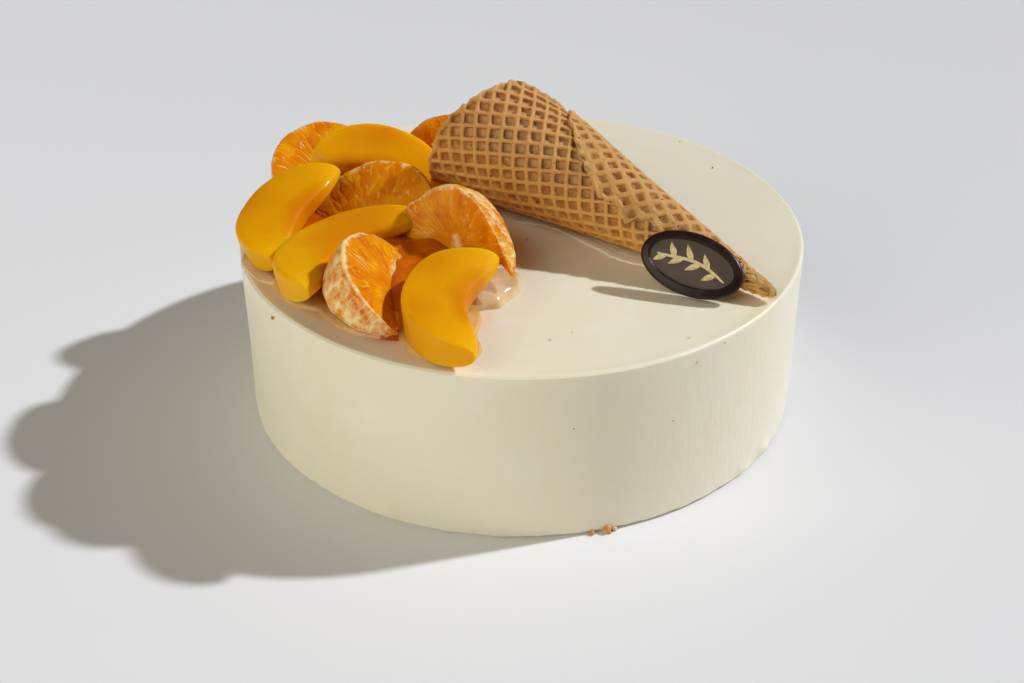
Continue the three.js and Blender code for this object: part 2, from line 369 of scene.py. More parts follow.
def relief(height, depth, under=None):
    """A bumped normal from a height of 0 to 1 that stands for `depth` millimetres."""
    sockets = {"Height": height, "Distance": depth * MM, "Strength": 1.0}
    if under:
        sockets["Normal"] = under
    return add_node(height, "ShaderNodeBump", sockets).outputs["Normal"]


def reading(shader, name):
    """The value that the mesh keeps at each point under that name."""
    return add_node(shader, "ShaderNodeAttribute", {}, attribute_name=name).outputs["Fac"]


def keep_values(piece, name, values, at_ends=()):
    """Stores a value for each point of the mesh, last those of the middles of its end rings."""
    layer = piece.data.attributes.new(name, "FLOAT", "POINT")
    layer.data.foreach_set("value", np.append(values, at_ends).astype(np.float32))


def cream_material():
    """Off-white cream: smooth and satin, with faint warm and pale clouds, a few fine pits, and short
    upright strokes where the trowel marked it."""
    material, shader = new_material(
        "cream", CREAM_COLOR, 0.45, Subsurface_Weight=0.3, Subsurface_Scale=0.004,
        Subsurface_Radius=(1.0, 0.75, 0.45), Specular_IOR_Level=0.5)
    here = place(shader)
    color = blend(clouds(here, 45, 2, 0.35, 0.7), CREAM_COLOR, CREAM_WARM)
    color = blend(clouds(here, 16, 3, 0.5, 0.8), color, CREAM_PALE)
    # Orange tint near the fruit: partly a juice stain, partly painted glow of light through the fruit.
    color = blend(spread(reading(shader, "juice_and_glow"), 0, 1, 0, 0.42), color, JUICE_AND_GLOW_COLOR)
    strokes = times(mottle(place(shader, (1, 1, 0.3)), 1.9, 4, 0.6), reading(shader, "trowel"))
    pits = clouds(here, 1.6, 1, 0.2, 0.27)
    set_sockets(shader, {
        "Base Color": color,
        "Normal": relief(pits, 0.06, relief(strokes, 0.3)),
        "Roughness": clouds(here, 7, 4, 0.3, 0.7, 0.36, 0.46)})
    return material


cream = cream_material()
cake_rings, cake_trowel, cake_juice_and_glow = cake_points()
cake_coat = new_piece("cake_coat", *closed_skin(cake_rings), cream)
keep_values(cake_coat, "trowel", cake_trowel, [0, 0])
keep_values(cake_coat, "juice_and_glow", cake_juice_and_glow, [0, 0])
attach(cake_coat, "root")
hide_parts("cake")


# The wafer cone: a waffle sheet baked flat, rolled nearly twice round while hot and laid on its
# side. Its outer turn ends in a pressed-down free edge, its rim is lumpy, its mouth is slanted.
CONE_POINT = np.array([91.95, -62.8, 63.1])
CONE_HEADING = math.radians(140.42)
CONE_SIN = math.sin(math.radians(10.725))
CONE_COS = math.cos(math.radians(10.725))
CONE_START = 12.5
TIP_ROUND = 16.5
TIP_LENGTH = 4.2
SHEET_TURN = 1.8
SHEET_THICK = 1.62
SHEET_SHARE = 0.15
SQUEEZED_SHARE = 0.35
TURNS_WOUND = 1.9
# The free edge: distance from the point, turn round the cone in degrees from its top
FREE_EDGE = np.array([
    [12, 15], [17, 40], [22, 58], [56, 60], [61, 50], [65, 60], [68, 76], [71, 62], [74, 52], [80, 60],
    [84, 47], [92, 30], [97, 18], [104, -3], [107, -6], [110, -20], [117, -40]])
# The mouth: turn from the free edge back over the top in degrees, distance from the point
MOUTH = np.array([
    [0, 113], [30, 113], [75, 122], [135, 138], [184, 146.5], [225, 144.3], [256, 142], [280, 138],
    [302, 134.5], [318, 133], [333, 130], [340, 125], [360, 120], [420, 113], [500, 126], [600, 130],
    [684, 116]])
# The waffle: one corner where ridges cross on the flat sheet, and the steps to the next ones
RIDGE_CORNER = np.array([138.68, 18.15])
RIDGE_STEPS = np.array([[-2.79, 4.13], [-3.95, -2.92]])
RIDGE_LINES = np.array([0, 0.09, 0.155, 0.225, 0.5, 0.775, 0.845, 0.91])
RIDGE_TOP = 0.10
RIDGE_FOOT = 0.21
CELL_DEPTH = 1.61
INNER_CELL_DEPTH = 0.3
BORDER_WIDTH = 1.0
BORDER_LUMPS = 0.6
EDGE_RAGGED = 0.45
EDGE_PRESSED = 1.0
WAFER_RIDGE = (0.67, 0.36, 0.115)
# Low-down colours: toasted more orange, and lightened as painted bounce light on the cone's underside.
WAFER_RIDGE_LOW_LIT = (0.80, 0.42, 0.10)
# Cell walls: painted shade in the cells' recesses, also used for random browner patches.
WAFER_BROWN_AND_WALL_SHADE = (0.42, 0.165, 0.03)
WAFER_FLOOR = (0.57, 0.305, 0.13)
WAFER_FLOOR_LOW_LIT = (0.66, 0.31, 0.065)
WAFER_PORE = (0.20, 0.08, 0.02)


def trimmed_grid(points, edge):
    """The points and faces of a plane grid inside an outline, and the sides of faces on it. `edge`
    gives a point's distance inside it, and each outer point takes two steps of distance over slope,
    along the slope, onto it."""
    rows, columns = points.shape[:2]
    number = np.arange(rows * columns).reshape(rows, columns)
    faces = together(number[:-1, :-1], number[:-1, 1:], number[1:, 1:], number[1:, :-1]).reshape(-1, 4)
    flat = points.reshape(-1, 2)
    faces = faces[edge(flat[faces].mean(1)) > 0]
    used, faces = np.unique(faces, return_inverse=True)
    faces = faces.reshape(-1, 4)
    flat = flat[used]
    sides = np.concatenate([faces[:, [corner, (corner + 1) % 4]] for corner in range(4)])
    ordered = np.sort(sides, axis=1)
    keys = ordered[:, 0] * len(flat) + ordered[:, 1]
    _, first, count = np.unique(keys, return_index=True, return_counts=True)
    rim = sides[first[count == 1]]
    outer = np.unique(rim)
    nudge = 0.02
    longest = 0.5
    for _ in range(2):
        spot = flat[outer]
        inside = edge(spot)
        slope = together(edge(spot + [nudge, 0]) - inside, edge(spot + [0, nudge]) - inside) / nudge
        step = -slope * (inside / np.maximum((slope ** 2).sum(-1), 0.25))[:, None]
        reach = np.linalg.norm(step, axis=1)
        flat[outer] += step * np.minimum(1, longest / np.maximum(reach, 1e-9))[:, None]
    return flat, faces, rim


def sheet_faces(faces, rim, count):
    """Faces of a closed sheet: the upper ones, the same turned over `count` points further on, and
    a wall along the rim."""
    walls = together(rim[:, 1], rim[:, 0], rim[:, 0] + count, rim[:, 1] + count)
    return [faces, faces[:, ::-1] + count, walls]


def unrolled(points):
    """For points of the flat sheet: distance from the cone's point, turn round the cone from its top
    and turn from the outer free edge back over the top, both in degrees."""
    distance = np.hypot(points[:, 0], points[:, 1])
    turn = np.degrees(np.arctan2(points[:, 1], points[:, 0])) / CONE_SIN
    return distance, turn, np.interp(distance, *FREE_EDGE.T) + 360 - turn


def wafer_edge(points):
    """Distance inside the sheet's outline: the least of those to the mouth, the free edge, the
    wound-in end and the cone's point, made ragged by waves."""
    distance, turn, onward = unrolled(points)
    arc = np.radians(1) * distance * CONE_SIN
    mouth = np.interp(onward, *MOUTH.T) - distance
    wound_in = (360 * TURNS_WOUND - onward) * arc
    inside = np.minimum.reduce([mouth, onward * arc, wound_in, distance - CONE_START])
    return inside + EDGE_RAGGED * waves(points, 4.5, 11) + 0.8 * EDGE_RAGGED * waves(points, 2.4, 12)


def rolled(points, depth):
    """Points of the flat sheet on the cone: `depth` under the outermost skin, plus the spiral's
    own depth, one sheet for each turn onward from the free edge. The sheets are squeezed near the
    point, and the tip is drawn in as a half-round."""
    distance, turn, onward = unrolled(points)
    full = distance * CONE_SIN
    layer = np.minimum(SHEET_TURN, SHEET_SHARE * full)
    under = layer * onward / 360 + depth * np.minimum(1, SQUEEZED_SHARE * full / SHEET_TURN)
    drawn_in = np.sqrt(1 - (np.clip(TIP_ROUND - distance, 0, 0.99 * TIP_LENGTH) / TIP_LENGTH) ** 2)
    radius = (full - under * CONE_COS) * drawn_in
    along = distance * CONE_COS + under * CONE_SIN
    level = np.array([math.cos(CONE_HEADING), math.sin(CONE_HEADING), 0])
    axis = level * CONE_COS + np.array([0, 0, CONE_SIN])
    side = np.cross([0, 0, 1], axis)
    side /= np.linalg.norm(side)
    up = np.cross(axis, side)
    angle = np.radians(turn)
    across = np.cos(angle)[:, None] * up + np.sin(angle)[:, None] * side
    return CONE_POINT + along[:, None] * axis + radius[:, None] * across


def ridge_height(points):
    """1 on the waffle's ridges and 0 in its cells: a smooth step of the distance to the ridge lines
    in shares of a cell, where the distances to the two rows join as a to the -4 plus b to the -4,
    all to the -1/4, which rounds the cells' corners. The overlapping turn has broader ridges."""
    cells = (points - RIDGE_CORNER) @ np.linalg.inv(RIDGE_STEPS)
    cells += 0.03 * together(waves(points, 12, 13), waves(points, 12, 14))
    off = np.maximum(np.abs(cells - np.round(cells)), 1e-4)
    near = (off ** -4.0).sum(-1) ** -0.25 + 0.015 * waves(points, 5, 19)
    _, _, onward = unrolled(points)
    broad = 0.045 * (1 - rise(onward, 60, 140))
    return 1 - rise(near, RIDGE_TOP + broad, RIDGE_FOOT + broad)


def wafer_sheet():
    """The rolled sheet's points and faces, how deep each point lies in a cell, and how low on the
    cone. The cells are deepest over the top, shallower low down, broken near the free edge and
    missing in the lumpy rim, and the tip is knobbly."""
    reach = np.arange(-60, 61)
    lines = (reach[:, None] + RIDGE_LINES).ravel()
    grid = RIDGE_CORNER + lines[:, None, None] * RIDGE_STEPS[0] + lines[None, :, None] * RIDGE_STEPS[1]
    flat, faces, rim = trimmed_grid(grid, wafer_edge)
    distance, turn, onward = unrolled(flat)
    low_down = rise(np.abs((turn + 180) % 360 - 180), 50, 125)
    from_edge = onward * np.radians(1) * distance * CONE_SIN
    border = wafer_edge(flat)
    ridge = ridge_height(flat)
    wear = (1 - 0.68 * low_down) * rise(border, 0.5, BORDER_WIDTH + 0.8)
    broken = 1 - rise(from_edge, 5, 15)
    wear *= 1 - broken * (0.35 + 0.35 * np.clip(waves(flat, 4, 22), -1, 1))
    wear *= 0.92 + 0.14 * waves(flat, 16, 15) + 0.08 * waves(flat, 2.5, 16)
    cell = (1 - ridge) * np.clip(wear, 0, 1.15)
    lumpy = 0.35 + 0.55 * ridge + 0.5 * np.abs(waves(flat, 2.8, 20)) + 0.9 * bell(onward, 322, 13)
    lumps = BORDER_LUMPS * bell(border, 0.5, BORDER_WIDTH) * lumpy
    knobs = 0.3 * (1 - rise(distance, 30, 46)) * waves(flat, 2.6, 23)
    rough = 0.10 * waves(flat, 7, 17) + 0.07 * waves(flat, 2.4, 24) + 0.14 * broken * waves(flat, 1.8, 21)
    outer = cell * CELL_DEPTH - lumps + rough + knobs + EDGE_PRESSED * (1 - rise(from_edge, 0, 14))
    inner = SHEET_THICK - (1 - ridge) * INNER_CELL_DEPTH + 0.08 * waves(flat, 7, 18)
    points = np.concatenate([rolled(flat, outer), rolled(flat, np.maximum(inner, outer + 0.45))])
    return points, sheet_faces(faces, rim, len(flat)), np.tile(cell, 2), np.tile(low_down, 2)


def wafer_material():
    """Baked wafer: tan ridges, darker cell walls, where the colour is painted shade in the cells, and
    pinkish cell floors, all more orange and lighter low down, partly from toasting and partly as
    painted bounce light on the underside, with a few dark pores and fine bubbles."""
    material, shader = new_material(
        "wafer", WAFER_RIDGE, 0.6, Specular_IOR_Level=0.3, Subsurface_Weight=0.3,
        Subsurface_Scale=0.003, Subsurface_Radius=(1.0, 0.45, 0.15))
    here = place(shader)
    toast_and_bounce = reading(shader, "toast_and_bounce")
    depth = plus(reading(shader, "cell"), clouds(here, 1.4, 4, 0.3, 0.7, -0.12, 0.12, roughness=0.6))
    # Low on the cone the colours turn to the lighter, more orange ones: toasting plus painted bounce light.
    ridge = blend(toast_and_bounce, WAFER_RIDGE, WAFER_RIDGE_LOW_LIT)
    bottom = blend(toast_and_bounce, WAFER_FLOOR, WAFER_FLOOR_LOW_LIT)
    # Darker colour on the cell walls between ridge and floor: painted shade in the recesses.
    color = blend(spread(depth, 0.1, 0.45), ridge, WAFER_BROWN_AND_WALL_SHADE)
    color = blend(spread(depth, 0.6, 0.95), color, bottom)
    color = blend(clouds(here, 9, 4, 0.5, 0.75, 0, 0.35), color, WAFER_BROWN_AND_WALL_SHADE)
    color = blend(clouds(here, 3.5, 4, 0.45, 0.7, 0, 0.5), color, ridge)
    pores = clouds(here, 2.3, 1, 0.21, 0.26)
    bubbles = relief(mottle(here, 1.1, 5, 0.65), 0.4)
    set_sockets(shader, {
        "Base Color": blend(pores, WAFER_PORE, color), "Normal": relief(pores, 0.35, bubbles)})
    return material


wafer = wafer_material()
wafer_points, wafer_faces, wafer_cells, wafer_toast_and_bounce = wafer_sheet()
cone_sheet = new_piece("cone_sheet", wafer_points, wafer_faces, wafer)
keep_values(cone_sheet, "cell", wafer_cells)
keep_values(cone_sheet, "toast_and_bounce", wafer_toast_and_bounce)
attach(cone_sheet, "root")
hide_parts("wafer_cone")


# The plaque: an oval of dark chocolate cast in a mould, with a rounded rim and a sprig printed in
# gold-coloured cocoa butter. It leans back on the cone, with its lower edge just over the cream.
PLAQUE_LENGTH = 35.1
PLAQUE_HEIGHT = 20.9
PLAQUE_THICK = 3.2
PLAQUE_RIM = 2.5
PLAQUE_HOLLOW = 0.75
PLAQUE_BEAD = 1.3
PLAQUE_AT = (55.5, -47.9, 10)
PLAQUE_TURN_DEG = (40.6, -11.5, 157.6)
PLAQUE_BEAD_DEG = 68.0
PLAQUE_SIDES = 200
SPRIG_RISE = 0.16
STEM_LENGTH = 24.0
STEM_STATIONS = 60
LEAF_COUNT = 7
LEAF_LEAN_DEG = 38.0
LEAF_LENGTH = 5.8
LEAF_WIDTH = 1.9
CHOCOLATE_COLOR = (0.018, 0.0075, 0.0045)
CHOCOLATE_BLOOM = (0.050, 0.030, 0.024)
# Lighter colour of the poured face: painted reflection of the bright surroundings.
CHOCOLATE_FACE_REFLECTION = (0.098, 0.064, 0.050)
SPRIG_COLOR = (0.80, 0.64, 0.34)
SPRIG_SHADE = (0.62, 0.46, 0.22)


def laid(points, at, turn_deg):
    """A topping's points turned about X, then Y, then Z, and put at its place over the cake's top."""
    x, y, z = np.radians(turn_deg)
    about_x = np.array([[1, 0, 0], [0, np.cos(x), -np.sin(x)], [0, np.sin(x), np.cos(x)]])
    about_y = np.array([[np.cos(y), 0, np.sin(y)], [0, 1, 0], [-np.sin(y), 0, np.cos(y)]])
    about_z = np.array([[np.cos(z), -np.sin(z), 0], [np.sin(z), np.cos(z), 0], [0, 0, 1]])
    return points @ (about_z @ about_y @ about_x).T + np.array(at) + [0, 0, CAKE_HEIGHT]


def plaque_points():
    """Rings of points: each is the oval drawn in by its own inset, at its own height. They go from the
    middle of the back round the edge, up a straight bevel to the rim's crest, and down a short step
    to the face and its middle. With them comes 1 on the face."""
    half = PLAQUE_THICK / 2
    arc = np.linspace(-np.pi / 2, math.radians(PLAQUE_BEAD_DEG), 24)
    bead = together(1 - np.cos(arc), np.sin(arc)) * PLAQUE_BEAD - [0, half - PLAQUE_BEAD]
    climb = np.linspace(0, PLAQUE_RIM - bead[-1, 0], 8)[1:, None]
    bevel = bead[-1] + climb * [1, math.tan(math.radians(90 - PLAQUE_BEAD_DEG))]
    crest = bevel[-1, 1]
    step = np.linspace(0, 1, 10)[1:]
    shore = together(PLAQUE_RIM + 0.7 * step, crest - (crest - half + PLAQUE_HOLLOW) * rise(step, 0, 1))
    face = together(np.linspace(PLAQUE_RIM + 1.0, PLAQUE_HEIGHT / 2 - 0.2, 14), half - PLAQUE_HOLLOW)
    back = face[::-1] * [1, 0] - [0, half]
    profile = np.concatenate([back, bead, bevel, shore, face])
    turn = full_turn(PLAQUE_SIDES)
    inset, lift = profile[:, :1], profile[:, 1:]
    long_way = (PLAQUE_LENGTH / 2 - inset) * np.cos(turn)
    short_way = -(PLAQUE_HEIGHT / 2 - inset) * np.sin(turn)
    on_face = rise(inset, PLAQUE_RIM + 0.5, PLAQUE_RIM + 1.1) * (lift > 0) + 0 * turn
    lift = lift + 0.012 * waves(together(long_way, short_way), 12, 21)
    return together(long_way, lift, short_way), on_face


def chocolate_material():
    """Dark chocolate: nearly black, softly glossy, with a faint bloom in clouds, a poured face lightened
    by a painted reflection of the bright surroundings, and fine dimples."""
    material, shader = new_material("chocolate", CHOCOLATE_COLOR, 0.3, Specular_IOR_Level=0.28)
    here = place(shader)
    # The face is lightened: painted reflection of the bright surroundings.
    color = blend(reading(shader, "face"), CHOCOLATE_COLOR, CHOCOLATE_FACE_REFLECTION)
    set_sockets(shader, {
        "Base Color": blend(clouds(here, 5, 3, 0.45, 0.75, 0, 0.4), color, CHOCOLATE_BLOOM),
        "Roughness": clouds(here, 3, 3, 0.3, 0.7, 0.27, 0.34),
        "Normal": relief(mottle(here, 2.6, 2), 0.012)})
    return material


chocolate = chocolate_material()
plaque_rings, plaque_face = plaque_points()
plaque_skin, plaque_faces = closed_skin(plaque_rings)
plaque_skin = laid(plaque_skin, PLAQUE_AT, PLAQUE_TURN_DEG)
plaque = new_piece("plaque_chocolate", plaque_skin, plaque_faces, chocolate)
keep_values(plaque, "face", plaque_face, [0, 1])
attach(plaque, "root")
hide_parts("chocolate_plaque")


def ribbon(path, width):
    """Rings of a strip along a path in the plaque's face, each an oval as wide as `width` that is
    sunk to its middle in the face."""
    along = np.gradient(path, axis=0)
    across = together(-along[:, 1], along[:, 0]) / np.linalg.norm(along, axis=1)[:, None]
    turn = full_turn(12)
    out = np.cos(turn) * width[:, None] / 2
    lift = PLAQUE_THICK / 2 - PLAQUE_HOLLOW + SPRIG_RISE * np.sin(turn) + 0.02
    flat = path[:, None] + out[..., None] * across[:, None]
    return together(flat[..., 0], lift, flat[..., 1])


def sprig_strips():
    """The sprig's strips: a long S-shaped stem, and leaves by turns on its two sides that taper at
    both ends."""
    share = np.linspace(0, 1, STEM_STATIONS)
    sway = 1.8 * np.sin(2.6 * np.pi * share / 2) - 2.2 + 3.2 * share
    stem = together(STEM_LENGTH * share - STEM_LENGTH / 2, sway)
    strips = [ribbon(stem, 0.45 + 0.65 * np.sin(np.pi * share) ** 0.6)]
    share = np.linspace(0, 1, 24)[:, None]
    for order, spot in enumerate(np.linspace(0.14, 0.86, LEAF_COUNT)):
        side = 1 if order % 2 else -1
        lean = math.radians(LEAF_LEAN_DEG * side + 8)
        length = LEAF_LENGTH - 2.6 * abs(spot - 0.45)
        way = np.array([math.cos(lean), math.sin(lean)])
        bend = np.array([-way[1], way[0]]) * side
        leaf = stem[round(spot * (STEM_STATIONS - 1))] + way * length * share + bend * 0.8 * share ** 2
        strips.append(ribbon(leaf, 0.15 + LEAF_WIDTH * np.sin(np.pi * share[:, 0] ** 0.8) ** 0.9))
    return strips


def joined(parts):
    """Several skins as the points and faces of one."""
    offset = np.cumsum([0] + [len(points) for points, _ in parts])
    faces = [face + start for (_, group), start in zip(parts, offset) for face in group]
    return np.concatenate([points for points, _ in parts]), faces


gold, gold_shader = new_material("cocoa_butter_gold", SPRIG_COLOR, 0.4)
gold_share = clouds(place(gold_shader), 1.2, 4, 0.35, 0.7)
set_sockets(gold_shader, {"Base Color": blend(gold_share, SPRIG_COLOR, SPRIG_SHADE)})
sprig_points, sprig_faces = joined([closed_skin(strip) for strip in sprig_strips()])
sprig = new_piece("plaque_sprig", laid(sprig_points, PLAQUE_AT, PLAQUE_TURN_DEG), sprig_faces, gold)
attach(sprig, "root")


# The peaches: canned slices, brushed with clear glaze and laid by hand. Every wedge of fruit has X
# along its length, Y across its thickness and Z from inner edge to back.
PEACH_STATIONS = 150
PEACH_SIDES = 120
PEACH_CORNER = 5.6
PEACH_EDGE_SHARE = 0.42
RIM_SPAN = 0.10
# Name, place, turn in degrees and sizes; sweep is the turn from its middle to an end, in degrees
PEACHES = [
    ("front", (-28.5, -72.5, 9.5), (92, 8, -98), dict(radius=30, depth=20.5, sweep=83, thick=17)),
    ("lower", (-67.7, -33, 7.5), (104, 1, -125), dict(radius=35.5, depth=19.5, sweep=82, thick=15.5)),
    ("left", (-85.5, -13, 10), (104, 14, -112), dict(radius=32.5, depth=22.5, sweep=71, thick=16.5)),
    ("back", (-49.5, 29.5, 13), (76, -12, 167), dict(radius=31.5, depth=18.5, sweep=69, thick=18.5)),
]
PEACH_YELLOW = (0.77, 0.34, 0.0003)
PEACH_AMBER = (0.69, 0.235, 0.0003)
PEACH_DEEP = (0.66, 0.205, 0.0003)
PEACH_PAINTED_GLOW = (0.82, 0.42, 0.0005)


def wedge_section(corner, edge_share, sides):
    """One turn of a rounded square of that power, narrowed to edge_share at its inner edge: shares
    of the way from inner edge to back, of half the thickness across, and 1 on the two corners where
    the faces meet the back."""
    angle = np.linspace(-np.pi, np.pi, sides, endpoint=False)
    x, y = np.cos(angle), np.sin(angle)
    size = (np.abs(x) ** corner + np.abs(y) ** corner) ** (-1 / corner)
    back = (1 + x * size) / 2
    return back, y * size * (edge_share + (1 - edge_share) * back), bell(np.abs(angle), np.pi / 4, RIM_SPAN)


def peach_points(seed, radius, depth, sweep, thick):
    """Rings of a crescent: at `along` from -1 to 1 the ring stands at along times sweep round the
    place of the stone, and its depth and thickness shrink as 1 - |along|^2.4 to their own powers.
    With them come how near the back, a cut edge and a thin end each point is."""
    back, across, rim = wedge_section(PEACH_CORNER, PEACH_EDGE_SHARE, PEACH_SIDES)
    along = np.sin(np.pi * (np.arange(1, PEACH_STATIONS) / PEACH_STATIONS - 0.5))[:, None]
    fall = 1 - np.abs(along) ** 2.4
    outer = radius - 0.25 * depth * (1 - fall)
    inner = outer - depth * fall ** 0.5
    out = inner + (outer - inner) * back
    angle = along * math.radians(sweep)
    y = thick / 2 * fall ** 0.42 * across
    points = together(out * np.sin(angle), y, out * np.cos(angle) - radius + 0.45 * depth)
    inward = -points / np.linalg.norm(points, axis=-1, keepdims=True)
    dents = 0.35 * waves(points, 22, seed) + 0.08 * waves(points, 7, seed + 1)
    return points + inward * dents[..., None], *np.broadcast_arrays(back, rim, 1 - fall ** 0.5)


def peach_material():
    """Canned peach: clear amber-yellow flesh that light soaks into, with painted light along the cut
    edges and a painted glow towards the thin ends, deeper towards the inner edge, and matt inside its thin
    wet film."""
    material, shader = new_material(
        "peach_flesh", PEACH_YELLOW, 0.5, Subsurface_Weight=0.85, Subsurface_Scale=0.008,
        Subsurface_Radius=(1.0, 0.6, 0.03), Specular_IOR_Level=0.05, Coat_Weight=0.25,
        Coat_Roughness=0.03, Coat_IOR=1.38)
    here = place(shader)
    color = blend(clouds(here, 30, 1, 0.35, 0.7), PEACH_YELLOW, PEACH_AMBER)
    from_stone = plus(reading(shader, "back"), clouds(here, 14, 1, 0.3, 0.7, -0.06, 0.06))
    color = blend(spread(from_stone, 0.0, 0.35), PEACH_DEEP, color)
    # Paler along the cut edges: painted light where the edges catch and pass light.
    rim = times(reading(shader, "rim"), clouds(here, 12, 2, 0.35, 0.6, 0.1, 0.7))
    color = blend(rim, color, PEACH_PAINTED_GLOW)
    # Paler towards the thin ends: painted glow of light through the thin flesh.
    color = blend(spread(reading(shader, "thin"), 0.05, 0.6, 0, 0.8), color, PEACH_PAINTED_GLOW)
    fibres = clouds(here, 2.2, 4, 0.45, 0.75, 0, 0.12, roughness=0.6)
    normal = relief(mottle(here, 6, 2), 0.15)
    set_sockets(shader, {
        "Base Color": blend(fibres, color, PEACH_DEEP),
        "Normal": normal,
        "Coat Normal": relief(mottle(here, 1.6, 3), 0.10, normal)})
    return material


peach_flesh = peach_material()
for order, (name, at, turn_deg, sizes) in enumerate(PEACHES):
    rings, back, rim, thin = peach_points(seed=31 + 2 * order, **sizes)
    points, faces = closed_skin(rings)
    piece = new_piece(f"peach_slice_{name}", laid(points, at, turn_deg), faces, peach_flesh)
    keep_values(piece, "back", back, [0.9, 0.9])
    keep_values(piece, "rim", rim, [0.5, 0.5])
    keep_values(piece, "thin", thin, [1, 1])
    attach(piece, "root")
    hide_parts(f"peach_{name}")


# Mandarin segments: half-moons of juice sacs that fan out from a core, in a thin skin with fine
# pale threads between the sacs. Pith is left along the rims and, on some, over the back.
MANDARIN_STATIONS = 210
MANDARIN_SIDES = 180
MANDARIN_CORNER = 5
MANDARIN_EDGE_SHARE = 0.16
SAC_TURN = 0.13
SAC_LENGTH = 11.0
SAC_THICK = 6.0
SAC_GROOVE = 0.25
THREAD_REACH = 0.5
SCALLOP = 0.22
PITH_RIDGE = 0.5
# A patch of core: how much, its middle along the length, half its width, its lowest and highest place
PLAIN_CORE = (0.4, 0, 8, -6, 1)
# Name, place, turn in degrees, sizes, and: bend of the two ends, pith left along the rims and on the
# back, height of the sacs' middle, and the patch of core
MANDARINS = [
    ("front", (-23.3, -28.1, 15.5), (38.5, 29, 158), dict(
        reach=23.7, length=42.8, thick=17.5, curl=(13, -8), on_rim=0.7, on_back=0.5, fan=2.5,
        core=(1.0, -2, 1.6, 1, 8))),
    ("left", (-51, -61.5, 12), (62, 8, -89), dict(
        reach=23.5, length=41, thick=18.5, on_rim=1.0, on_back=0.66, fan=-5, core=(0.75, -12, 6, -6, 4))),
    ("middle", (-50, 1.5, 9.4), (66, 10, 165), dict(
        reach=28, length=46, thick=15, on_rim=0.66, on_back=0.3, fan=-8)),
    ("mouth", (-21.5, 40, 13.5), (32, -9, 170), dict(
        reach=20, length=44, thick=14.5, on_rim=0.25, on_back=0.3)),
    ("back", (-78.5, 39.5, 9), (65, 10, -142), dict(
        reach=21, length=41, thick=14, on_rim=0.35, on_back=0.3)),
    ("under", (-46.5, -50.5, 4.5), (75, 1, -91), dict(
        reach=18, length=42.5, thick=13, on_rim=0.4, on_back=0.55)),
]
MANDARIN_ORANGE = (0.76, 0.245, 0.0006)
MANDARIN_DEEP = (0.68, 0.165, 0.0004)
MANDARIN_LIGHT = (0.86, 0.36, 0.002)
THREAD_COLOR = (0.88, 0.42, 0.03)
THREAD_PALE = (0.92, 0.59, 0.22)
PITH_COLOR = (0.86, 0.45, 0.17)
PITH_WHITE = (0.90, 0.70, 0.34)


def sac_field(where, unit_size, seed):
    """Sacs as cells round one random point in each cube of a space whose units have those sizes in
    millimetres: how far, in millimetres, each place is from the plane halfway between its two
    nearest such points, and the nearest one's own random tone."""
    table = np.random.default_rng(seed).random((16, 16, 16, 4))
    steps = np.stack(np.meshgrid(*[np.arange(-1, 2)] * 3, indexing="ij"), -1).reshape(-1, 3)
    near = np.floor(where).astype(int)[..., None, :] + steps
    spot = table[tuple(np.moveaxis(near % 16, -1, 0))]
    way = near + 0.15 + 0.7 * spot[..., :3] - where[..., None, :]
    away = np.linalg.norm(way, axis=-1)
    order = np.argsort(away, axis=-1)[..., :2]
    nearest = np.take_along_axis(away, order, -1)
    pair = np.take_along_axis(way, order[..., None], -2)
    across = pair[..., 1, :] - pair[..., 0, :]
    apart = np.linalg.norm(across, axis=-1)
    gap = (nearest[..., 1] ** 2 - nearest[..., 0] ** 2) / (2 * apart)
    steep = np.linalg.norm(across / apart[..., None] / unit_size, axis=-1)
    return gap / steep, np.take_along_axis(spot[..., 3], order[..., :1], -1)[..., 0]


